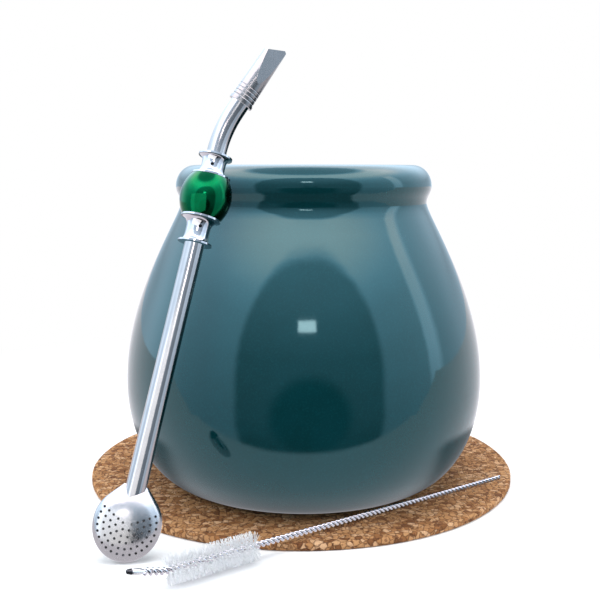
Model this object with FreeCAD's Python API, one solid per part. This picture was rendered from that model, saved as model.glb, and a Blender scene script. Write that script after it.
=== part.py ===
"""Mate gourd cup on a cork coaster, with a metal drinking straw and its cleaning brush.

Millimetres, +Z up. The origin is the middle of the coaster's underside, on the table.
The cup stands on the coaster. The straw stands on the table on its strainer spoon and
leans on the cup's lip. The brush lies in front: bristles on the table, wire on the cork.
"""
import FreeCAD
import Part
import math
import os

Vector = FreeCAD.Vector

# ---------------------------------------------------------------- driving dimensions
# coaster
coaster_radius = 65.1
coaster_thickness = 2.0
coaster_edge_round = 0.35

# cup, heights above its own foot
cup_height = 93.0
cup_x = 0.7                  # cup axis, measured from the coaster's middle
cup_y = -8.4
cup_wall = 5.0
cup_floor = 6.0
foot_radius = 35.0
belly_radius = 52.9
belly_height = 29.5
belly_inner_shift = 1.5      # how much higher the hollow's widest place is
neck_radius = 36.2
neck_drop = 11.0             # from the lip's top down to the narrowest place
neck_wall = 6.2
lip_overhang = 1.3           # how far the lip stands out past the neck
lip_drop = 6.0               # from the lip's top down to its widest place
lip_outer_round = 5.5        # how far in from the lip's edge its crest is
lip_inner_drop = 2.7         # from the crest down to the straight mouth
lip_radius = neck_radius + lip_overhang
mouth_radius = neck_radius - neck_wall

# straw, lengths measured along it from the tip of its spoon
tube_radius = 2.55
tube_wall = 0.45
tube_end_slant = 30.0        # degrees, the pressed end on the spoon's face
bend_radius = 30.0
bend_angle = 23.2            # degrees
bend_to_mouthpiece = 2.4     # straight tube between the bend and the mouthpiece
straw_slip = 0.05            # clearance of what is threaded on the tube
bead_radius = 6.65
bead_half_height = 5.4
bead_end_radius = 5.0
lower_ferrule_length = 7.0
upper_ferrule_length = 5.9
ferrule_wall = 0.5           # at its waist
ferrule_flange_step = 1.3    # from the waist out to the flange
ferrule_cup_margin = 0.1     # how far its cup reaches past the bead's end
ferrule_rim = 0.45           # thickness of its two rims
ferrule_waist_place = 0.58   # share of its length from the bead to its waist
bend_room = 0.9              # from the upper ferrule to where the tube bends
ferrule_waist_radius = tube_radius + straw_slip + ferrule_wall
ferrule_flange_radius = ferrule_waist_radius + ferrule_flange_step
ferrule_cup_radius = bead_end_radius + ferrule_cup_margin
bead_to_bend = bead_half_height + upper_ferrule_length + bend_room

# strainer spoon, a flattened hollow egg
spoon_length = 18.4
spoon_half_width = 8.3
spoon_half_thickness = 3.3
spoon_wall = 0.6
spoon_widest = 9.0
spoon_neck_wall = 0.45       # beside the tube
spoon_tube_overlap = 3.8     # how far the tube's end reaches over the spoon
spoon_neck_half_width = tube_radius + spoon_neck_wall
tube_start = spoon_length - spoon_tube_overlap
hole_radius = 0.31
hole_pitch = 1.5
hole_ring_step = 1.45
hole_ring_count = 5
hole_ring_reach = 118.0      # degrees each side of the spoon's tip
hole_margin = 1.3            # from the outermost holes to the spoon's edge

# mouthpiece, lengths measured from its lower edge
mouthpiece_length = 18.2
mouthpiece_wall = 0.5
mouthpiece_taper = 0.4       # how much slimmer it is at its tip
mouthpiece_seat = 5.0        # how far the tube reaches into it
tip_half_thickness = 1.0
tip_slant = 30.0             # degrees, the oblique end
tip_corner_round = 1.3
facet_start = 5.6
collar_height = 0.7
collar_extra = 0.2
groove_count = 4
groove_pitch = 1.05
groove_radius = 0.24
groove_stand_off = 0.07      # from the mouthpiece's side out to a groove's middle
first_groove = 1.35
mouthpiece_radius = tube_radius + straw_slip + mouthpiece_wall
mouthpiece_tip_radius = mouthpiece_radius - mouthpiece_taper

# cleaning brush, lengths measured along it from its tip
brush_length = 123.0
wire_radius = 0.8
wire_end_radius = 0.5
brush_tip_radius = 0.6
brush_tip_length = 4.2
bare_twist_length = 5.4
tip_rise = 14.0              # degrees, the bare tip is bent up
bristle_length = 25.4
bristle_radius = 3.75
bristle_end_round = 0.6

# layout
lip_gap = 0.1                # between the bead and the cup's lip
table_gap = 0.02             # what lies on the table
brush_gap = 0.05             # between the wire's end and the cork
straw_foot_room = 19.1       # from the coaster's edge out to the straw's foot
straw_foot_bearing = 238.4   # degrees from +X, seen from the coaster's middle
straw_azimuth = 53.9         # degrees from +X, the way the straw leans
bead_under_lip = 2.46        # from the lip's widest place down to the bead's middle
bend_turn = -21.2            # degrees, turns the bend about the straw
spoon_turn = 7.0             # degrees, turns the spoon's face about the straw
facet_turn = 29.0            # degrees, turns the mouthpiece's flats
brush_azimuth = 36.7         # degrees from +X, from its tip to its wire's end
brush_cup_gap = 0.25         # from the wire to the cup
brush_coaster_gap = 3.0      # from the bristles to the coaster's edge

# shape constants
quarter_handle = 0.5523      # Bezier handle of a quarter round, as a share of its radius
origin = Vector(0, 0, 0)
axis_x = Vector(1, 0, 0)
axis_y = Vector(0, 1, 0)
axis_z = Vector(0, 0, 1)


# ---------------------------------------------------------------- drawing helpers
def at(radius, height):
    """A point of a turned outline, in the XZ plane."""
    return Vector(radius, 0, height)


def line(start, end):
    return Part.LineSegment(start, end).toShape()


def bezier(*poles):
    curve = Part.BezierCurve()
    curve.setPoles(list(poles))
    return curve.toShape()


def arc(start, middle, end):
    return Part.Arc(start, middle, end).toShape()


def quarter_round(start, corner, end):
    """A quarter ellipse from start to end, with its square corner given."""
    first_handle = start + (corner - start) * quarter_handle
    second_handle = end + (corner - end) * quarter_handle
    return bezier(start, first_handle, second_handle, end)


def turned(edges):
    """A solid of revolution about Z from a closed outline in the XZ plane."""
    face = Part.Face(Part.Wire(edges))
    return face.revolve(origin, axis_z, 360)


def polygon_edges(points):
    return [line(start, end) for start, end in zip(points, points[1:] + points[:1])]


def disc(radius, height, thickness):
    return Part.makeCylinder(radius, thickness, at(0, height))


# ---------------------------------------------------------------- coaster
def make_coaster():
    body = disc(coaster_radius, 0, coaster_thickness)
    return body.makeFillet(coaster_edge_round, body.Edges[:1] + body.Edges[2:3])


# ---------------------------------------------------------------- cup
def gourd_side(foot, belly, neck):
    """The side of the gourd as two curves that meet upright at the belly."""
    foot_handle = 0.58
    lower_belly_handle = 0.525
    upper_belly_handle = 0.49
    neck_handle = 0.07
    rise_below = belly.z - foot.z
    rise_above = neck.z - belly.z
    lower = bezier(
        foot,
        foot + axis_x * (belly.x - foot.x) * foot_handle,
        belly - axis_z * rise_below * lower_belly_handle,
        belly,
    )
    upper = bezier(
        belly,
        belly + axis_z * rise_above * upper_belly_handle,
        neck - axis_z * rise_above * neck_handle,
        neck,
    )
    return lower, upper


def make_cup():
    neck_height = cup_height - neck_drop
    widest_lip = at(lip_radius, cup_height - lip_drop)
    crest = at(lip_radius - lip_outer_round, cup_height)
    foot = at(foot_radius, 0)
    neck = at(neck_radius, neck_height)
    outer_lower, outer_upper = gourd_side(foot, at(belly_radius, belly_height), neck)

    inner_floor = at(foot_radius - cup_wall, cup_floor)
    inner_belly = at(belly_radius - cup_wall, belly_height + belly_inner_shift)
    mouth_low = at(mouth_radius, neck_height)
    mouth_high = at(mouth_radius, cup_height - lip_inner_drop)
    inner_lower, inner_upper = gourd_side(inner_floor, inner_belly, mouth_low)

    lip_rise = widest_lip.z - neck.z
    half_rise = axis_z * lip_rise / 2
    lip_fillet = bezier(neck, neck + half_rise, widest_lip - half_rise, widest_lip)
    lip_outside = quarter_round(widest_lip, at(lip_radius, cup_height), crest)
    lip_inside = quarter_round(crest, at(mouth_radius, cup_height), mouth_high)
    edges = [line(at(0, 0), foot), outer_lower, outer_upper, lip_fillet, lip_outside]
    edges += [lip_inside, line(mouth_high, mouth_low), inner_upper, inner_lower]
    edges += [line(inner_floor, at(0, cup_floor)), line(at(0, cup_floor), at(0, 0))]
    cup = turned(edges)
    cup.translate(Vector(cup_x, cup_y, coaster_thickness))
    return cup


# ---------------------------------------------------------------- strainer spoon
def spoon_egg(inset):
    """The flattened egg, upright on its tip; inset makes the hollow inside it."""
    half_width = spoon_half_width - inset
    half_thickness = spoon_half_thickness - inset
    neck_half_width = spoon_neck_half_width - inset
    tip = at(0, inset)
    widest = at(half_width, spoon_widest)
    neck = at(neck_half_width, spoon_length - inset)
    tip_curve = quarter_round(tip, at(half_width, inset), widest)
    rise = neck.z - widest.z
    widest_handle = axis_z * rise * 0.52
    neck_handle = Vector(rise * 0.24, 0, -rise * 0.3)
    shoulder = bezier(widest, widest + widest_handle, neck + neck_handle, neck)
    edges = [tip_curve, shoulder, line(neck, at(0, neck.z)), line(at(0, neck.z), tip)]
    egg = turned(edges)
    flatten = FreeCAD.Matrix()
    flatten.A22 = half_thickness / half_width
    return egg.transformGeometry(flatten)


def hole_places():
    """Middles of the strainer's holes: arcs about the spoon's widest place, open to its neck."""
    outermost = spoon_half_width - hole_margin
    for ring in range(hole_ring_count):
        radius = outermost - ring * hole_ring_step
        if radius < hole_ring_step / 2:
            continue
        reach = math.radians(hole_ring_reach)
        steps = max(1, round(2 * reach * radius / hole_pitch))
        for step in range(steps + 1):
            angle = -reach + 2 * reach * step / steps
            yield Vector(radius * math.sin(angle), 0, spoon_widest - radius * math.cos(angle))


def make_spoon():
    egg = spoon_egg(0)
    hollow = spoon_egg(spoon_wall)
    front = -axis_y
    drills = []
    for place in hole_places():
        start = place + front * (spoon_half_thickness + spoon_wall)
        drills.append(Part.makeCylinder(hole_radius, spoon_half_thickness + spoon_wall, start, axis_y))
    seat = Part.makeCylinder(tube_radius, spoon_length, at(0, tube_start))
    spoon = egg.cut(hollow).cut(Part.makeCompound(drills))
    spoon.rotate(origin, axis_z, spoon_turn)
    return spoon.cut(seat.common(tube_end_room()))


# ---------------------------------------------------------------- tube
def tube_end_room(length=spoon_length):
    """The room above the tube's slanted lower end, for a tube of about this length."""
    size = 3 * length
    room = Part.makeBox(size, size, size, Vector(-size / 2, -size / 2, 0))
    room.rotate(origin, axis_y, -tube_end_slant)
    room.rotate(origin, axis_z, spoon_turn)
    room.translate(at(0, tube_start + tube_radius * math.tan(math.radians(tube_end_slant))))
    return room


def bend_end(bend_start):
    """The point and the direction of the tube where its bend ends, before bend_turn."""
    angle = math.radians(bend_angle)
    shift = bend_radius * (1 - math.cos(angle))
    rise = bend_radius * math.sin(angle)
    return at(shift, bend_start + rise), at(math.sin(angle), math.cos(angle))


def rod_along_tube(radius, bend_start):
    """A round rod along the tube's middle line, from the spoon to inside the mouthpiece."""
    half_angle = math.radians(bend_angle) / 2
    bend_top, upper_way = bend_end(bend_start)
    top = bend_top + upper_way * (bend_to_mouthpiece + mouthpiece_seat)
    start = at(0, tube_start)
    middle = at(bend_radius * (1 - math.cos(half_angle)), bend_start + bend_radius * math.sin(half_angle))
    straight = Part.makeCylinder(radius, bend_start - start.z, start)
    path = Part.Wire([arc(at(0, bend_start), middle, bend_top)])
    section = Part.Wire([Part.Circle(at(0, bend_start), axis_z, radius).toShape()])
    bend = path.makePipeShell([section], True, True)
    upper = Part.makeCylinder(radius, (top - bend_top).Length, bend_top, upper_way)
    return straight.fuse(bend).fuse(upper)


def make_tube(bead_centre):
    bend_start = bead_centre + bead_to_bend
    bore = rod_along_tube(tube_radius - tube_wall, bend_start)
    tube = rod_along_tube(tube_radius, bend_start).cut(bore)
    tube.rotate(origin, axis_z, bend_turn)
    return tube.common(tube_end_room(bend_start))


# ---------------------------------------------------------------- bead and ferrules
def make_bead(bead_centre):
    bore = tube_radius + straw_slip
    half = bead_half_height - straw_slip
    low = at(bead_end_radius, -half)
    high = at(bead_end_radius, half)
    edges = [
        arc(low, at(bead_radius, 0), high),
        line(high, at(bore, half)),
        line(at(bore, half), at(bore, -half)),
        line(at(bore, -half), low),
    ]
    bead = turned(edges)
    bead.translate(at(0, bead_centre))
    return bead


def make_ferrule(bead_centre, direction, length):
    """A waisted metal collar beside the bead; direction is +1 above the bead and -1 below."""
    bore = tube_radius + straw_slip
    waist_height = length * ferrule_waist_place
    rim_handle = 0.3
    flange_handle = 0.6
    cup_top = at(ferrule_cup_radius, ferrule_rim)
    waist = at(ferrule_waist_radius, waist_height)
    flange_low = at(ferrule_flange_radius, length - ferrule_rim)
    cup_low = at(ferrule_waist_radius, ferrule_rim + rim_handle)
    flange_start = at(ferrule_waist_radius, flange_low.z - flange_handle)
    flange_turn = at(ferrule_waist_radius + rim_handle, flange_low.z)
    edges = [
        line(at(bore, 0), at(ferrule_cup_radius, 0)),
        line(at(ferrule_cup_radius, 0), cup_top),
        bezier(cup_top, cup_low, waist - axis_z * waist_height / 2, waist),
        bezier(waist, flange_start, flange_turn, flange_low),
        line(flange_low, at(ferrule_flange_radius, length)),
        line(at(ferrule_flange_radius, length), at(bore, length)),
        line(at(bore, length), at(bore, 0)),
    ]
    ferrule = turned(edges)
    if direction < 0:
        ferrule.rotate(origin, axis_x, 180)
    ferrule.translate(at(0, bead_centre + direction * bead_half_height))
    return ferrule


# ---------------------------------------------------------------- mouthpiece
def duck_bill(radius, tip_radius, half_thickness, facet_from):
    """A round body that two slanting flats thin down towards its tip."""
    body = Part.makeCone(radius, tip_radius, mouthpiece_length)
    wedge = polygon_edges([
        Vector(0, -radius * 2, 0),
        Vector(0, radius * 2, 0),
        Vector(0, radius, facet_from),
        Vector(0, half_thickness, mouthpiece_length),
        Vector(0, -half_thickness, mouthpiece_length),
        Vector(0, -radius, facet_from),
    ])
    block = Part.Face(Part.Wire(wedge)).extrude(axis_x * radius * 4)
    block.translate(-axis_x * radius * 2)
    return body.common(block)


def tip_outline():
    """The mouthpiece seen on its flats: straight sides and an oblique end with round corners."""
    side = mouthpiece_radius * 2
    drop = 2 * side * math.tan(math.radians(tip_slant))
    far_top = mouthpiece_length + (side - mouthpiece_tip_radius) * math.tan(math.radians(tip_slant))
    outline = polygon_edges([
        at(-side, -1),
        at(side, -1),
        at(side, far_top),
        at(-side, far_top - drop),
    ])
    face = Part.Face(Part.Wire(outline))
    block = face.extrude(axis_y * side * 2)
    block.translate(-axis_y * side)
    trim = Part.makeCylinder(tip_corner_round, side * 2, origin, axis_y)
    slant_share = 1.35
    corner_x = mouthpiece_tip_radius - tip_corner_round
    corner_z = mouthpiece_length - tip_corner_round * slant_share
    trim.translate(Vector(corner_x, -side, corner_z))
    waste = Part.makeBox(side, side * 2, side, Vector(corner_x, -side, corner_z))
    return block.cut(waste.cut(trim))


def make_mouthpiece(bead_centre):
    outer = duck_bill(mouthpiece_radius, mouthpiece_tip_radius, tip_half_thickness, facet_start)
    inner = duck_bill(
        mouthpiece_radius - mouthpiece_wall,
        mouthpiece_tip_radius - mouthpiece_wall,
        tip_half_thickness - mouthpiece_wall,
        facet_start,
    )
    bore = Part.makeCylinder(tube_radius + straw_slip, mouthpiece_seat + straw_slip)
    collar = disc(mouthpiece_radius + collar_extra, 0, collar_height)
    body = outer.fuse(collar)
    for groove in range(groove_count):
        height = first_groove + groove * groove_pitch
        ring = Part.makeTorus(mouthpiece_radius + groove_stand_off, groove_radius, at(0, height))
        body = body.cut(ring)
    body = body.cut(bore).cut(inner).common(tip_outline())
    body.rotate(origin, axis_z, facet_turn - bend_turn)

    bend_top, upper_way = bend_end(bead_centre + bead_to_bend)
    body.rotate(origin, axis_y, bend_angle)
    body.translate(bend_top + upper_way * bend_to_mouthpiece)
    body.rotate(origin, axis_z, bend_turn)
    return body


# ---------------------------------------------------------------- cleaning brush
def make_brush_wire():
    """The twisted wire, as the round rod that its strands fill: tip, core and handle."""
    bend_at = brush_tip_length + bare_twist_length
    tip_way = Vector(-1, 0, math.tan(math.radians(tip_rise))).normalize()
    knee = axis_x * bend_at
    twist = Part.makeCylinder(wire_radius, bare_twist_length, knee, tip_way)
    tip_start = knee + tip_way * bare_twist_length
    tip_end = tip_start + tip_way * (brush_tip_length - brush_tip_radius)
    tip = Part.makeCylinder(brush_tip_radius, brush_tip_length - brush_tip_radius, tip_start, tip_way)
    core = Part.makeCylinder(wire_radius, bristle_length, knee, axis_x)
    handle_start = knee + axis_x * bristle_length
    handle_length = brush_length - handle_start.x - wire_end_radius
    handle = Part.makeCone(wire_radius, wire_end_radius, handle_length, handle_start, axis_x)
    wire = core.fuse(handle).fuse(twist).fuse(tip)
    wire = wire.fuse(Part.makeSphere(wire_radius, knee))
    wire = wire.fuse(Part.makeSphere(brush_tip_radius, tip_end))
    return wire.fuse(Part.makeSphere(wire_end_radius, handle_start + axis_x * handle_length))


def make_bristles():
    """The ring of nylon bristles round the wire, out to their ends."""
    start = axis_x * (brush_tip_length + bare_twist_length + wire_radius)
    length = bristle_length - 2 * wire_radius
    bundle = Part.makeCylinder(bristle_radius, length, start, axis_x)
    end_edges = [edge for edge in bundle.Edges if isinstance(edge.Curve, Part.Circle)]
    bundle = bundle.makeFillet(bristle_end_round, end_edges)
    return bundle.cut(Part.makeCylinder(wire_radius, length, start, axis_x))


# ---------------------------------------------------------------- standing things in their places
def lowest(shape):
    points, _ = shape.tessellate(0.01)
    return min(point.z for point in points)


def make_collars(bead_centre):
    """The bead between its two ferrules."""
    return {
        "lower_ferrule": make_ferrule(bead_centre, -1, lower_ferrule_length),
        "bead": make_bead(bead_centre),
        "upper_ferrule": make_ferrule(bead_centre, +1, upper_ferrule_length),
    }


def straw_layout(spoon, cup):
    """Stands the straw on the table and leans it on the cup's lip.

    Returns its placement, and how far up the straw the bead's middle is.
    """
    foot = level_way(straw_foot_bearing) * (coaster_radius + straw_foot_room)
    way = level_way(straw_azimuth)
    foot_from_cup = foot - Vector(cup_x, cup_y, 0)
    along = foot_from_cup.dot(way)
    across = foot_from_cup.dot(axis_z.cross(way))
    bead_height = coaster_thickness + cup_height - lip_drop - bead_under_lip
    foot_height = spoon_half_thickness
    reach = lip_radius + bead_radius + lip_gap
    for _ in range(5):
        travel = -along - math.sqrt(reach ** 2 - across ** 2)
        rise = bead_height - foot_height
        bead_centre = math.hypot(travel, rise)
        turn = FreeCAD.Rotation(axis_z.cross(way), math.degrees(math.atan2(travel, rise)))
        foot_height = table_gap - lowest(moved(spoon, FreeCAD.Placement(origin, turn)))
        placement = FreeCAD.Placement(foot + axis_z * foot_height, turn)
        collars = Part.makeCompound(list(make_collars(bead_centre).values()))
        distance = moved(collars, placement).distToShape(cup)[0]
        reach -= distance - lip_gap
    return placement, bead_centre


def brush_placement(wire, cup):
    """Lays the bristles on the table beside the coaster, and the wire before the cup.

    The wire rests on the cork, or on the table if the coaster is too small to reach under it.
    """
    bristle_rest = bristle_radius + table_gap
    bristle_stop = brush_tip_length + bare_twist_length + bristle_length
    handle_length = brush_length - wire_end_radius - bristle_stop
    cork_reach = coaster_radius - coaster_edge_round
    way = level_way(brush_azimuth)
    outward = level_way(brush_azimuth - 90)
    sideways = belly_radius
    for _ in range(4):
        beside_coaster = sideways - bristle_radius + outward.dot(Vector(cup_x, cup_y, 0))
        wire_beside = beside_coaster + bristle_radius
        along = math.sqrt(max(0, (coaster_radius + brush_coaster_gap) ** 2 - beside_coaster ** 2))
        if wire_beside < cork_reach:
            rest = min(handle_length, along + math.sqrt(cork_reach ** 2 - wire_beside ** 2))
            bed_height = coaster_thickness + brush_gap
        else:
            rest = handle_length
            bed_height = table_gap
        rest_radius = wire_radius + (wire_end_radius - wire_radius) * rest / handle_length
        wire_rest = bed_height + rest_radius
        fall = math.degrees(math.asin((bristle_rest - wire_rest) / rest))
        turn = FreeCAD.Rotation(axis_z, brush_azimuth) * FreeCAD.Rotation(axis_y, fall)
        middle = outward * wire_beside - way * along
        placement = FreeCAD.Placement(middle - turn.multVec(axis_x * bristle_stop), turn)
        placement.Base.z += bristle_rest
        distance = moved(wire, placement).distToShape(cup)[0]
        sideways -= distance - brush_cup_gap
    return placement


def level_way(bearing):
    """The level direction at a bearing in degrees from +X."""
    return Vector(math.cos(math.radians(bearing)), math.sin(math.radians(bearing)), 0)


def moved(shape, placement):
    """A copy of the shape, put where the placement says."""
    copy = shape.copy()
    copy.transformShape(placement.toMatrix(), True)
    return copy


# ---------------------------------------------------------------- the whole set
def build():
    cup = make_cup()
    spoon = make_spoon()
    straw_place, bead_centre = straw_layout(spoon, cup)
    straw = {
        "strainer_spoon": spoon,
        "tube": make_tube(bead_centre),
        "mouthpiece": make_mouthpiece(bead_centre),
    }
    straw.update(make_collars(bead_centre))
    brush = {
        "brush_wire": make_brush_wire(),
        "brush_bristles": make_bristles(),
    }
    parts = {"coaster": make_coaster(), "cup": cup}
    for name, shape in straw.items():
        parts[name] = moved(shape, straw_place)
    brush_place = brush_placement(brush["brush_wire"], cup)
    for name, shape in brush.items():
        parts[name] = moved(shape, brush_place)
    return parts


def main():
    os.makedirs("parts", exist_ok=True)
    for name, shape in build().items():
        shape.exportStep(f"parts/{name}.step")
        print(f"{name}: {len(shape.Solids)} solid, valid {shape.isValid()}, {shape.Volume:.1f} mm3")


main()
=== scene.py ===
"""Looks of the mate set: gourd cup, cork coaster, metal straw and its cleaning brush."""
import math
import random

import bpy
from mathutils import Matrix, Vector, noise


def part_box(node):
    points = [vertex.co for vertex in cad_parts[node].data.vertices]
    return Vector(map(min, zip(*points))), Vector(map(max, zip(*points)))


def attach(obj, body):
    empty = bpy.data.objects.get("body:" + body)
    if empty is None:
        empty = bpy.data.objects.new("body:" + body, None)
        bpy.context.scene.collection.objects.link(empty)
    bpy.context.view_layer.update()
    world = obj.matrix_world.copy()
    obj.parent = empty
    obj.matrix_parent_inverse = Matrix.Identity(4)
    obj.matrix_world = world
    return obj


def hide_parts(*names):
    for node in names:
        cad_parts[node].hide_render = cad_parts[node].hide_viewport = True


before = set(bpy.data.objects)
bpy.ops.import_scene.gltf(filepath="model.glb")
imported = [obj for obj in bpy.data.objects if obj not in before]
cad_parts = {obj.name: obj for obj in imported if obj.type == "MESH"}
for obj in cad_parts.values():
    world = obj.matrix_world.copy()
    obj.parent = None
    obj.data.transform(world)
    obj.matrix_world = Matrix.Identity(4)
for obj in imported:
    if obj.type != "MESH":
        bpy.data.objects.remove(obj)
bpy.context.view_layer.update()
MM = 0.001

cup_low, cup_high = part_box("cup")
cup_middle = (cup_low + cup_high) / 2
coaster_low, coaster_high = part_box("coaster")
coaster_radius = (coaster_high.x - coaster_low.x) / 2
coaster_top = coaster_high.z
STRAW = ("strainer_spoon", "tube", "lower_ferrule", "bead", "upper_ferrule", "mouthpiece")
made_pieces = []


# ---------------------------------------------------------------- node helpers
class Nodes:
    """A small builder for a node tree."""

    def __init__(self, tree):
        self.tree = tree

    def add(self, kind, inputs=None, **settings):
        node = self.tree.nodes.new(kind)
        for name, value in settings.items():
            setattr(node, name, value)
        for key, value in (inputs or {}).items():
            if isinstance(value, bpy.types.NodeSocket):
                self.tree.links.new(value, node.inputs[key])
            else:
                node.inputs[key].default_value = value
        return node

    def math(self, operation, first, second=0.0, clamp=False):
        node = self.add("ShaderNodeMath", {0: first, 1: second}, operation=operation, use_clamp=clamp)
        return node.outputs[0]

    def smooth(self, value, low, high, start=0.0, end=1.0):
        """start below low, end above high, and a soft step between them."""
        inputs = {0: value, 1: low, 2: high, 3: start, 4: end}
        node = self.add("ShaderNodeMapRange", inputs, interpolation_type="SMOOTHSTEP")
        return node.outputs[0]

    def band(self, value, low, full, still, high):
        """One from full to still, falling softly to nothing at low and high."""
        return self.math("MULTIPLY", self.smooth(value, low, full), self.smooth(value, high, still))

    def between(self, share, first, second):
        inputs = {0: share, 2: first, 3: second}
        return self.add("ShaderNodeMix", inputs, data_type="FLOAT").outputs[0]

    def degrees(self, angle):
        return self.math("MULTIPLY", angle, 180 / math.pi)

    def oval(self, across, up, middle_across, middle_up, half_width, half_height, power):
        """Below one inside a rounded shape, above one outside it."""
        shares = []
        for value, middle, half in ((across, middle_across, half_width), (up, middle_up, half_height)):
            away = self.math("ABSOLUTE", self.math("SUBTRACT", value, middle))
            shares.append(self.math("POWER", self.math("DIVIDE", away, half), power))
        return self.math("ADD", *shares)

    def levels(self, value, stops):
        """A level that runs through stops of (value, level)."""
        low, high = stops[0][0], stops[-1][0]
        top = max(level for _, level in stops)
        place = self.add("ShaderNodeMapRange", {0: value, 1: low, 2: high}).outputs[0]
        greys = [((at - low) / (high - low), (level / top,) * 3) for at, level in stops]
        return self.math("MULTIPLY", self.ramp(place, greys), top)

    def mix(self, share, first, second, blend="MIX"):
        inputs = {0: share, 6: first, 7: second}
        return self.add("ShaderNodeMix", inputs, data_type="RGBA", blend_type=blend).outputs[2]

    def ramp(self, value, stops, interpolation="LINEAR"):
        node = self.add("ShaderNodeValToRGB", {0: value})
        node.color_ramp.interpolation = interpolation
        elements = node.color_ramp.elements
        while len(elements) < len(stops):
            elements.new(0.5)
        for element, (place, colour) in zip(elements, stops):
            element.position = place
            element.color = (*colour, 1.0)
        return node.outputs[0]

    def noise(self, vector, scale, detail=2.0, roughness=0.5):
        inputs = {"Vector": vector, "Scale": scale, "Detail": detail, "Roughness": roughness}
        return self.add("ShaderNodeTexNoise", inputs).outputs["Fac"]

    def cells(self, vector, scale, feature="F1"):
        return self.add("ShaderNodeTexVoronoi", {"Vector": vector, "Scale": scale}, feature=feature)

    def place(self):
        """The surface point in the row frame, in metres."""
        return self.add("ShaderNodeTexCoord").outputs["Object"]

    def bump(self, height, strength, distance):
        inputs = {"Height": height, "Strength": strength, "Distance": distance}
        return self.add("ShaderNodeBump", inputs).outputs[0]

    def stretched(self, vector, scale):
        return self.add("ShaderNodeMapping", {"Vector": vector, "Scale": scale}).outputs[0]


def new_material(name):
    material = bpy.data.materials.new(name)
    material.use_nodes = True
    nodes = Nodes(material.node_tree)
    shader = material.node_tree.nodes["Principled BSDF"]
    return material, nodes, shader


def feed(nodes, shader, **sockets):
    """Links or sets sockets of the shader; underscores stand for spaces."""
    for name, value in sockets.items():
        socket = shader.inputs[name.replace("_", " ")]
        if isinstance(value, bpy.types.NodeSocket):
            nodes.tree.links.new(value, socket)
        else:
            socket.default_value = value


# ---------------------------------------------------------------- materials
def glaze_material():
    """Dark teal glaze, glossy, with faint mottling and pinholes."""
    material, nodes, shader = new_material("teal_glaze")
    place = nodes.place()
    clouds = nodes.noise(place, 55.0, 4.0, 0.6)
    grain = nodes.noise(place, 2200.0, 2.0)
    tint = nodes.mix(nodes.smooth(clouds, 0.35, 0.65), (0.0007, 0.023, 0.027, 1), (0.0010, 0.028, 0.034, 1))
    tint = nodes.mix(nodes.smooth(grain, 0.45, 0.75, 0.0, 0.22), tint, (0.004, 0.06, 0.07, 1))
    waves = nodes.noise(place, 120.0, 2.0)
    feed(nodes, shader, Base_Color=tint, Roughness=nodes.smooth(grain, 0.3, 0.8, 0.05, 0.08))
    feed(nodes, shader, IOR=1.6, Specular_Tint=(0.5, 0.92, 1.0, 1), Normal=nodes.bump(waves, 0.05, 0.0003))
    return material


def steel_material(name, colour, roughness, brushed=0.0):
    """Polished or satin steel with fine drawing marks."""
    material, nodes, shader = new_material(name)
    place = nodes.place()
    marks = nodes.noise(nodes.stretched(place, (3.0, 3.0, 0.15)), 3000.0, 3.0)
    smudge = nodes.noise(place, 260.0, 3.0)
    shade = nodes.mix(nodes.smooth(smudge, 0.35, 0.7), (*colour, 1), (*[c * 0.93 for c in colour], 1))
    feed(nodes, shader, Base_Color=shade, Metallic=1.0)
    feed(nodes, shader, Roughness=nodes.smooth(marks, 0.3, 0.7, roughness * 0.8, roughness * 1.25))
    feed(nodes, shader, Normal=nodes.bump(marks, brushed, 0.00005))
    return material


def bead_material():
    """Deep green candy lacquer over metal, under a thin clear coat."""
    material, nodes, shader = new_material("green_bead")
    swirl = nodes.noise(nodes.place(), 190.0, 3.0)
    tint = nodes.mix(nodes.smooth(swirl, 0.35, 0.65), (0.0, 0.066, 0.022, 1), (0.0, 0.092, 0.034, 1))
    feed(nodes, shader, Base_Color=tint, Metallic=1.0, Roughness=0.12)
    feed(nodes, shader, Coat_Weight=0.03, Coat_Roughness=0.02)
    return material


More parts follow.
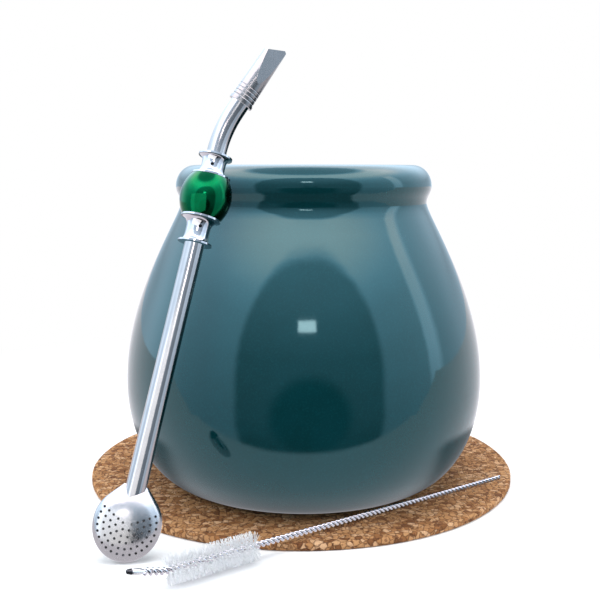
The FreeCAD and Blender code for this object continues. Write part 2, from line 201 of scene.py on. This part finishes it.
def cork_material():
    """Pressed cork: pale and brown granules with dark binder between them."""
    material, nodes, shader = new_material("cork")
    place = nodes.place()
    wander = nodes.add("ShaderNodeTexNoise", {"Vector": place, "Scale": 500.0, "Detail": 2.0})
    inputs = {0: wander.outputs["Color"], "Scale": 0.0012}
    shift = nodes.add("ShaderNodeVectorMath", inputs, operation="SCALE")
    bent = nodes.add("ShaderNodeVectorMath", {0: place, 1: shift.outputs[0]}, operation="ADD").outputs[0]
    granules = nodes.cells(bent, 620.0)
    small = nodes.cells(bent, 1500.0)
    edges = nodes.cells(bent, 620.0, "DISTANCE_TO_EDGE").outputs["Distance"]
    pick = nodes.add("ShaderNodeSeparateColor", {0: granules.outputs["Color"]}).outputs[0]
    fleck = nodes.add("ShaderNodeSeparateColor", {0: small.outputs["Color"]}).outputs[1]
    tint = nodes.ramp(pick, [
        (0.0, (0.13, 0.048, 0.017)),
        (0.14, (0.31, 0.132, 0.048)),
        (0.35, (0.48, 0.235, 0.095)),
        (0.7, (0.58, 0.31, 0.140)),
        (1.0, (0.76, 0.47, 0.27)),
    ])
    tint = nodes.mix(nodes.smooth(fleck, 0.80, 0.9, 0.0, 0.75), tint, (0.10, 0.032, 0.018, 1))
    grain = nodes.noise(place, 3500.0, 3.0, 0.7)
    tint = nodes.mix(nodes.smooth(grain, 0.3, 0.7, 0.4, 0.0), tint, (0.24, 0.11, 0.05, 1))
    gap = nodes.smooth(edges, 0.0, 0.09, 0.65, 0.0)
    tint = nodes.mix(gap, tint, (0.09, 0.035, 0.016, 1))
    height = nodes.math("ADD", nodes.math("MULTIPLY", pick, 0.5), nodes.smooth(edges, 0.0, 0.12))
    feed(nodes, shader, Base_Color=tint, Roughness=0.85, Specular_IOR_Level=0.2)
    feed(nodes, shader, Normal=nodes.bump(height, 0.8, 0.0003))
    return material


def nylon_material():
    """Clear white nylon filament."""
    material, nodes, shader = new_material("nylon_bristle")
    cloud = nodes.noise(nodes.place(), 900.0, 2.0)
    tint = nodes.mix(nodes.smooth(cloud, 0.3, 0.7), (0.80, 0.82, 0.83, 1), (0.93, 0.94, 0.95, 1))
    feed(nodes, shader, Base_Color=tint, Roughness=0.28, Transmission_Weight=0.5, IOR=1.53)
    return material


def wear(node_name, material):
    """Gives a carried-over CAD node its material."""
    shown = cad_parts[node_name]
    shown.data.materials.clear()
    shown.data.materials.append(material)


# ---------------------------------------------------------------- mesh helpers
def middle_of(node_name):
    low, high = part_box(node_name)
    return (low + high) / 2


def mesh_object(name, points, faces, material, smooth=True):
    """A new mesh piece."""
    mesh = bpy.data.meshes.new(name)
    mesh.from_pydata(points, [], faces)
    mesh.polygons.foreach_set("use_smooth", [smooth] * len(mesh.polygons))
    mesh.materials.append(material)
    mesh.validate()
    shown = bpy.data.objects.new(name, mesh)
    bpy.context.collection.objects.link(shown)
    made_pieces.append(shown)
    return shown


def tube_rings(rings, faces_before, sides, close_ends=True):
    """Faces that join rings of points, numbered on from faces_before."""
    faces = []
    for ring in range(rings - 1):
        for side in range(sides):
            after = (side + 1) % sides
            low = faces_before + ring * sides
            faces.append((low + side, low + after, low + sides + after, low + sides + side))
    if close_ends:
        last = faces_before + (rings - 1) * sides
        faces.append(tuple(faces_before + side for side in reversed(range(sides))))
        faces.append(tuple(last + side for side in range(sides)))
    return faces


def sweep(points, radii, sides, points_before=0):
    """Rings of points round a path, with their faces, numbered on from points_before."""
    rings = []
    across = None
    for place, point in enumerate(points):
        behind = points[max(0, place - 1)]
        ahead = points[min(len(points) - 1, place + 1)]
        way = (ahead - behind).normalized()
        if across is None:
            across = way.orthogonal().normalized()
        across = (across - way * across.dot(way)).normalized()
        beside = way.cross(across)
        for side in range(sides):
            angle = 2 * math.pi * side / sides
            rings.append(point + (across * math.cos(angle) + beside * math.sin(angle)) * radii[place])
    return rings, tube_rings(len(points), points_before, sides)


# ---------------------------------------------------------------- coaster
def make_coaster(material):
    """The cork disc with the relief of its granules, dense enough to show it at its edge."""
    rings = 150
    sectors = 560
    rim_round = 0.35 * MM
    thickness = coaster_top
    outline = []
    for ring in range(1, rings + 1):
        outline.append((coaster_radius * (ring / rings) - rim_round * (ring / rings), thickness))
    outline += [(coaster_radius, thickness - rim_round), (coaster_radius, thickness * 0.5)]
    outline += [(coaster_radius, rim_round), (coaster_radius - rim_round, 0.0)]
    points = [Vector((0, 0, thickness))]
    for radius, height in outline:
        for sector in range(sectors):
            angle = 2 * math.pi * sector / sectors
            points.append(Vector((radius * math.cos(angle), radius * math.sin(angle), height)))
    for point in points:
        grain = noise.noise(point / (0.9 * MM)) + 0.6 * noise.noise(point / (0.35 * MM))
        if point.z > thickness - 0.1 * MM:
            point.z -= 0.10 * MM * max(0.0, grain + 0.15)
        elif point.z > 0.1 * MM:
            inward = 1 - 0.16 * MM * max(0.0, grain + 0.2) / coaster_radius
            point.x *= inward
            point.y *= inward
    faces = [(0, 1 + sector, 1 + (sector + 1) % sectors) for sector in range(sectors)]
    faces += tube_rings(len(outline), 1, sectors, close_ends=False)
    first = 1 + (len(outline) - 1) * sectors
    faces.append(tuple(first + sector for sector in reversed(range(sectors))))
    coaster = mesh_object("cork_disc", points, faces, material)
    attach(coaster, "root")
    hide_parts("coaster")


# ---------------------------------------------------------------- straw collars
def make_painted_reflection_dot(name, node, along, material):
    """A painted reflection on a collar's waist: a dark low dome facing forward, standing in for the dark
    surroundings mirrored there; along shifts it along the straw.
    """
    dot_radius = 0.52 * MM
    dome_height = 0.18 * MM
    edge_drop = 0.12 * MM
    sunk = 0.05 * MM
    rings = 10
    sides = 28
    straw_way = (middle_of("upper_ferrule") - middle_of("lower_ferrule")).normalized()
    out = Vector((0.10, -1.0, 0.0))
    out = (out - straw_way * out.dot(straw_way)).normalized()
    across = straw_way.cross(out)
    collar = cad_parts[node]
    inward = collar.matrix_world.inverted()
    start = middle_of(node) + straw_way * along + out * 20 * MM
    _, place, _, _ = collar.ray_cast(inward @ start, inward.to_3x3() @ -out)
    centre = collar.matrix_world @ place - out * sunk
    points = [centre + out * dome_height]
    for ring in range(1, rings + 1):
        share = ring / rings
        radius = dot_radius * share
        bulge = dome_height * math.sqrt(max(0.0, 1 - share * share)) - edge_drop * share ** 4
        for side in range(sides):
            angle = 2 * math.pi * side / sides
            sideways = straw_way * math.cos(angle) + across * math.sin(angle)
            points.append(centre + sideways * radius + out * bulge)
    faces = [(0, 1 + side, 1 + (side + 1) % sides) for side in range(sides)]
    faces += tube_rings(rings, 1, sides, close_ends=False)
    dark_dot = mesh_object(name, points, faces, material)
    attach(dark_dot, "root")


# ---------------------------------------------------------------- cleaning brush
class Brush:
    """Where the cleaning brush lies, from the boxes of its two solids."""

    wire_radius = 0.8 * MM
    end_radius = 0.5 * MM
    tip_radius = 0.6 * MM
    tip_length = 4.2 * MM
    bristle_radius = 3.7 * MM
    bristle_length = 23.8 * MM

    def __init__(self):
        wire_low, wire_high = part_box("brush_wire")
        bundle_low, bundle_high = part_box("brush_bristles")
        self.middle = (bundle_low + bundle_high) / 2
        end = self.end_radius
        self.wire_end = Vector((wire_high.x - end, wire_high.y - end, coaster_top + 0.05 * MM + end))
        tip = self.tip_radius
        self.tip_end = Vector((wire_low.x + tip, wire_low.y + tip, wire_high.z - tip))
        self.way = (self.wire_end - self.middle).normalized()
        half = self.bristle_length / 2
        self.knee = self.middle - self.way * (half + self.wire_radius)
        self.bristle_end = self.middle + self.way * (half + self.wire_radius)
        tip_way = (self.tip_end - self.knee).normalized()
        self.tip_start = self.tip_end - tip_way * (self.tip_length - tip)


def twisted_strands(name, path, radii, pitch, material):
    """Two wires wound round a path; radii say how thick the pair is along it."""
    steps_a_turn = 18
    sides = 8
    lengths = [0.0]
    for start, end in zip(path, path[1:]):
        lengths.append(lengths[-1] + (end - start).length)
    steps = int(lengths[-1] / pitch * steps_a_turn)
    points = []
    faces = []
    for strand in range(2):
        centres = []
        thickness = []
        for step in range(steps + 1):
            run = lengths[-1] * step / steps
            leg = max(i for i in range(len(path) - 1) if lengths[i] <= run + 1e-9)
            share = (run - lengths[leg]) / (lengths[leg + 1] - lengths[leg])
            centre = path[leg].lerp(path[leg + 1], share)
            radius = radii[leg] + (radii[leg + 1] - radii[leg]) * share
            way = (path[leg + 1] - path[leg]).normalized()
            across = way.cross(Vector((0, 0, 1))).normalized()
            beside = way.cross(across)
            angle = 2 * math.pi * run / pitch + math.pi * strand
            centres.append(centre + (across * math.cos(angle) + beside * math.sin(angle)) * radius * 0.60)
            thickness.append(radius * 0.46)
        strand_points, strand_faces = sweep(centres, thickness, sides, len(points))
        points += strand_points
        faces += strand_faces
    wire = mesh_object(name, points, faces, material)
    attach(wire, "root")
    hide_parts("brush_wire")


def make_brush_wire(brush, bright, dark, silver):
    """The folded wire: its smooth loop at the tip, then two strands wound round each other. A dark core
    inside the twist is a painted reflection, showing as a dark line between the strands.
    """
    path = [brush.tip_start, brush.knee, brush.bristle_end, brush.wire_end]
    radii = [brush.wire_radius * 1.25, brush.wire_radius * 1.15, brush.wire_radius, brush.end_radius]
    twisted_strands("twisted_wire", path, radii, 2.9 * MM, bright)
    # painted reflection: a dark core inside the twist, seen as a dark line between the strands
    core_points, core_faces = sweep(path, [radius * 0.38 for radius in radii], 10)
    core = mesh_object("twisted_wire_painted_reflection", core_points, core_faces, dark)
    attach(core, "root")
    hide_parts("brush_wire")
    length = (brush.tip_end - brush.tip_start).length
    colour_change = length * 0.80
    make_loop_part(brush, "wire_loop", -0.8 * MM, colour_change, silver)
    make_loop_part(brush, "wire_loop_end", colour_change, length, dark, rounded=True)


def make_loop_part(brush, name, low, high, material, rounded=False):
    """A stretch of the tip's smooth loop, from low to high along it, fuller at its middle."""
    steps = 12
    cap_steps = 8
    length = (brush.tip_end - brush.tip_start).length
    tip_way = (brush.tip_end - brush.tip_start).normalized()
    centres = []
    thickness = []
    for step in range(steps + 1):
        run = low + (high - low) * step / steps
        centres.append(brush.tip_start + tip_way * run)
        thickness.append(brush.tip_radius * (1.0 + 0.3 * math.sin(math.pi * max(0.0, run) / length)))
    if rounded:
        for step in range(1, cap_steps + 1):
            angle = math.pi / 2 * step / cap_steps
            centres.append(brush.tip_end + tip_way * brush.tip_radius * math.sin(angle))
            thickness.append(max(brush.tip_radius * math.cos(angle), 0.01 * MM))
    points, faces = sweep(centres, thickness, 20)
    loop = mesh_object(name, points, faces, material)
    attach(loop, "root")
    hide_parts("brush_wire")


def make_bristles(brush, material):
    """Nylon bristles held in the twist: two opposite rows that wind round the wire."""
    dice = random.Random(11)
    count = 1100
    turn_pitch = 2.1 * MM
    wire_inside = 0.35 * MM
    sides = 4
    across = brush.way.cross(Vector((0, 0, 1))).normalized()
    beside = brush.way.cross(across)
    points = []
    faces = []
    for bristle in range(count):
        run = brush.bristle_length * (bristle + dice.random()) / count
        angle = 2 * math.pi * run / turn_pitch + math.pi * (bristle % 2) + dice.gauss(0, 0.11)
        out = across * math.cos(angle) + beside * math.sin(angle)
        length = brush.bristle_radius * dice.uniform(0.93, 1.0)
        lean = brush.way * dice.gauss(0, 0.05) * length
        curl = out.cross(brush.way) * dice.gauss(0, 0.04) * length
        root = brush.middle + brush.way * (run - brush.bristle_length / 2)
        start = root + out * wire_inside
        middle = root + out * length * 0.55 + lean * 0.35 + curl
        end = root + out * length + lean
        thick = dice.uniform(0.062, 0.092) * MM
        rod_points, rod_faces = sweep([start, middle, end], [thick] * 3, sides, len(points))
        points += rod_points
        faces += rod_faces
    bundle = mesh_object("nylon_bristles", points, faces, material)
    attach(bundle, "root")
    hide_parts("brush_bristles")


# ---------------------------------------------------------------- camera and light
def make_camera():
    data = bpy.data.cameras.new("camera")
    data.lens = 54.0
    data.sensor_width = 36.0
    camera = bpy.data.objects.new("camera", data)
    camera.location = (cup_middle.x - 0.0011, cup_middle.y - 0.2686, 0.0935)
    camera.rotation_euler = (math.radians(90.0 - 8.2), 0, 0)
    data.clip_start = 0.01
    bpy.context.collection.objects.link(camera)
    bpy.context.scene.camera = camera


def make_world():
    """Plain soft light, white to the eye. Glossy surfaces see a photographer's tent instead:
    a roof brighter than plain white, paler walls, a tall strip at the right, a faint one at
    the left, and a dark rounded opening in front with one small lamp in it."""
    world = bpy.data.worlds.new("studio")
    world.use_nodes = True
    world.cycles.sampling_method = "NONE"
    bpy.context.scene.world = world
    nodes = Nodes(world.node_tree)
    background = world.node_tree.nodes["Background"]
    way = nodes.add("ShaderNodeTexCoord").outputs["Generated"]
    parts = nodes.add("ShaderNodeSeparateXYZ", {0: way}).outputs
    ahead = nodes.math("MULTIPLY", parts[1], -1.0)
    bearing = nodes.degrees(nodes.math("ARCTAN2", parts[0], ahead))
    height = nodes.degrees(nodes.math("ARCSINE", parts[2]))
    aside = nodes.math("ABSOLUTE", bearing)

    walls = nodes.levels(height, [
        (-90, 1.35), (-64, 1.15), (-36, 1.2), (-28, 0.95), (-15, 0.95), (0, 1.25),
        (13, 1.6), (27, 2.2), (34, 2.9), (41, 4.0), (48, 5.2), (58, 5.2), (66, 1.8), (90, 1.5),
    ])
    back = nodes.levels(height, [
        (-90, 1.2), (-30, 1.0), (8, 0.9), (20, 2.2), (32, 3.2), (58, 4.0), (66, 1.8), (90, 1.5),
    ])
    level = nodes.between(nodes.smooth(aside, 118, 150), walls, back)
    strip = nodes.band(bearing, 83, 87, 93, 100)
    strip = nodes.math("MULTIPLY", strip, nodes.band(height, -25, 15, 33, 40))
    level = nodes.math("ADD", level, nodes.math("MULTIPLY", strip, 1.5))
    left = nodes.band(bearing, -138, -112, -104, -80)
    left = nodes.math("MULTIPLY", left, nodes.band(height, -45, -10, 10, 30))
    level = nodes.math("ADD", level, nodes.math("MULTIPLY", left, 0.8))

    opening = nodes.levels(height, [
        (-30, 0.15), (-15, 0.3), (0, 0.4), (13, 0.5), (27, 0.9), (34, 1.2), (48, 1.6),
    ])
    core = nodes.oval(bearing, height, 4, -15, 26, 22, 2.0)
    opening = nodes.between(nodes.smooth(core, 1.3, 0.6), opening, 0.05)
    lowered = nodes.math("MAXIMUM", height, 0.0)
    dark = nodes.oval(bearing, lowered, 4, 10, 47, 36.5, 2.6)
    level = nodes.between(nodes.smooth(dark, 1.15, 0.85), level, opening)
    spot = nodes.math("MULTIPLY", nodes.band(bearing, -5, -3, 7, 9), nodes.band(height, 24, 25, 28, 29))
    level = nodes.math("ADD", level, nodes.math("MULTIPLY", spot, 9.0))

    cool = nodes.mix(nodes.smooth(height, -42, -20), (1.0, 0.98, 1.04, 1), (0.80, 1.0, 1.20, 1))
    cool = nodes.mix(nodes.smooth(level, 2.5, 5.0), cool, (1.15, 1.0, 1.0, 1))
    grey = nodes.add("ShaderNodeCombineColor", {0: level, 1: level, 2: level}).outputs[0]
    tent = nodes.mix(1.0, cool, grey, "MULTIPLY")
    path = nodes.add("ShaderNodeLightPath").outputs
    seen = nodes.mix(path["Is Glossy Ray"], (0.62, 0.64, 0.66, 1), tent)
    seen = nodes.mix(path["Is Camera Ray"], seen, (1, 1, 1, 1))
    nodes.tree.links.new(seen, background.inputs["Color"])


def make_lamp(name, place, aim, size, energy, colour=(1, 1, 1), height=None):
    data = bpy.data.lights.new(name, "AREA")
    data.shape = "RECTANGLE"
    data.size = size
    data.size_y = height or size
    data.energy = energy
    data.color = colour
    lamp = bpy.data.objects.new(name, data)
    lamp.location = place
    lamp.rotation_euler = (Vector(aim) - Vector(place)).to_track_quat("-Z", "Y").to_euler()
    lamp.visible_glossy = False
    bpy.context.collection.objects.link(lamp)
    return lamp


def make_straw_light(pieces):
    """A soft box before the straw, at the left, that only the straw sees and mirrors."""
    lit = bpy.data.collections.new("straw_pieces")
    for piece in pieces:
        lit.objects.link(piece)
    place = (-0.253, -0.522, 0.03)
    aim = (-0.042, -0.069, 0.03)
    box = make_lamp("straw_box", place, aim, 0.75, 2.3, (1.0, 0.99, 0.97), 0.6)
    box.visible_glossy = True
    box.visible_camera = False
    box.light_linking.receiver_collection = lit


def make_lights():
    aim = (0, 0, 0.04)
    make_lamp("left_box", (-0.55, -0.15, 0.40), aim, 0.40, 2.5, (0.90, 0.96, 1.0))
    make_lamp("right_box", (0.55, -0.10, 0.35), aim, 0.40, 1.8, (0.90, 0.96, 1.0))
    make_lamp("top_box", (0.0, -0.05, 0.75), aim, 0.60, 4.4)


def make_floor():
    """Pale floor with the set's soft shadow, fading to plain white away from the set.
    Glossy rays see a painted reflection instead: the floor glows as a lit table, with painted shade beside
    and under the cup's foot, up to its front edge."""
    material, nodes, shader = new_material("floor_white")
    parts = nodes.add("ShaderNodeSeparateXYZ", {0: nodes.place()}).outputs
    far = nodes.math("POWER", parts[0], 2.0)
    far = nodes.math("SQRT", nodes.math("ADD", far, nodes.math("POWER", parts[1], 2.0)))
    paper = nodes.noise(nodes.place(), 900.0, 2.0)
    tint = nodes.mix(nodes.smooth(paper, 0.3, 0.7), (0.90, 0.90, 0.91, 1), (0.93, 0.93, 0.94, 1))
    feed(nodes, shader, Base_Color=tint, Roughness=0.9, Specular_IOR_Level=0.0)
    white = nodes.add("ShaderNodeEmission", {"Color": (1, 1, 1, 1), "Strength": 1.0}).outputs[0]
    fade = nodes.smooth(far, 0.10, 0.24)
    seen = nodes.add("ShaderNodeMixShader", {0: fade, 1: shader.outputs[0], 2: white})
    # painted reflection and shade: for glossy rays the floor glows, dimmed behind and under the set and
    # round the cup's foot
    behind = nodes.smooth(parts[1], -0.048, -0.022)
    under = nodes.math("MULTIPLY", behind, nodes.smooth(far, 0.088, 0.070))
    bright = nodes.smooth(under, 0.0, 1.0, 1.2, 0.3)
    forward = nodes.math("SUBTRACT", parts[1], cup_middle.y)
    around = nodes.math("ADD", nodes.math("POWER", parts[0], 2.0), nodes.math("POWER", forward, 2.0))
    painted_foot_shade = nodes.smooth(nodes.math("SQRT", around), 0.036, 0.048, 0.4, 1.0)
    bright = nodes.math("MULTIPLY", bright, painted_foot_shade)
    inputs = {"Color": (1.0, 0.97, 1.03, 1), "Strength": bright}
    table = nodes.add("ShaderNodeEmission", inputs).outputs[0]
    beyond = nodes.add("ShaderNodeBsdfTransparent").outputs[0]
    edge = nodes.smooth(parts[1], -0.088, -0.096)
    mirrored = nodes.add("ShaderNodeMixShader", {0: edge, 1: table, 2: beyond}).outputs[0]
    glossy = nodes.add("ShaderNodeLightPath").outputs["Is Glossy Ray"]
    floor_look = nodes.add("ShaderNodeMixShader", {0: glossy, 1: seen.outputs[0], 2: mirrored})
    output = material.node_tree.nodes["Material Output"]
    nodes.tree.links.new(floor_look.outputs[0], output.inputs["Surface"])
    half = 3.0
    corners = [(-half, -half, 0), (half, -half, 0), (half, half, 0), (-half, half, 0)]
    floor = mesh_object("floor", corners, [(0, 1, 2, 3)], material, smooth=False)
    floor.location.z = -0.0001
    made_pieces.remove(floor)


# ---------------------------------------------------------------- the whole set
make_camera()
make_world()
make_lights()
make_floor()

glaze = glaze_material()
steel = steel_material("polished_steel", (0.36, 0.345, 0.35), 0.12, 0.1)
satin = steel_material("satin_steel", (0.38, 0.375, 0.385), 0.22, 0.12)
lip_satin = steel_material("mouthpiece_satin", (0.25, 0.245, 0.25), 0.24, 0.12)
chrome = steel_material("chrome_collar", (0.50, 0.49, 0.52), 0.05)
silver_wire = steel_material("silver_wire", (0.62, 0.62, 0.63), 0.3)
# near-black steel: the tip loop's last stretch, and the painted dark reflection inside the twisted wire
dark_steel_and_painted_reflection = steel_material("dark_steel_and_painted_reflection", (0.05, 0.05, 0.055), 0.2, 0.1)
# painted reflection: near-black rough steel for the dark dots on the straw's collars
painted_reflection_shade = steel_material("painted_reflection_shade", (0.012, 0.012, 0.014), 0.6)
for node_name, material in (
    ("cup", glaze),
    ("tube", steel),
    ("strainer_spoon", satin),
    ("mouthpiece", lip_satin),
    ("lower_ferrule", chrome),
    ("upper_ferrule", chrome),
    ("bead", bead_material()),
):
    wear(node_name, material)
make_coaster(cork_material())
# painted reflections: dark domes on both collars stand in for the dark surroundings mirrored in the chrome
make_painted_reflection_dot("lower_painted_reflection_dot", "lower_ferrule", 0.6 * MM, painted_reflection_shade)
make_painted_reflection_dot("upper_painted_reflection_dot", "upper_ferrule", 0.3 * MM, painted_reflection_shade)
brush = Brush()
make_brush_wire(brush, chrome, dark_steel_and_painted_reflection, silver_wire)
make_bristles(brush, nylon_material())
straw = [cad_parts[name] for name in STRAW]
make_straw_light(straw)
# the strainer still mirrors itself, or its holes would look bright
for piece in straw[1:] + made_pieces:
    piece.visible_glossy = False

bpy.context.scene.view_settings.view_transform = "Standard"
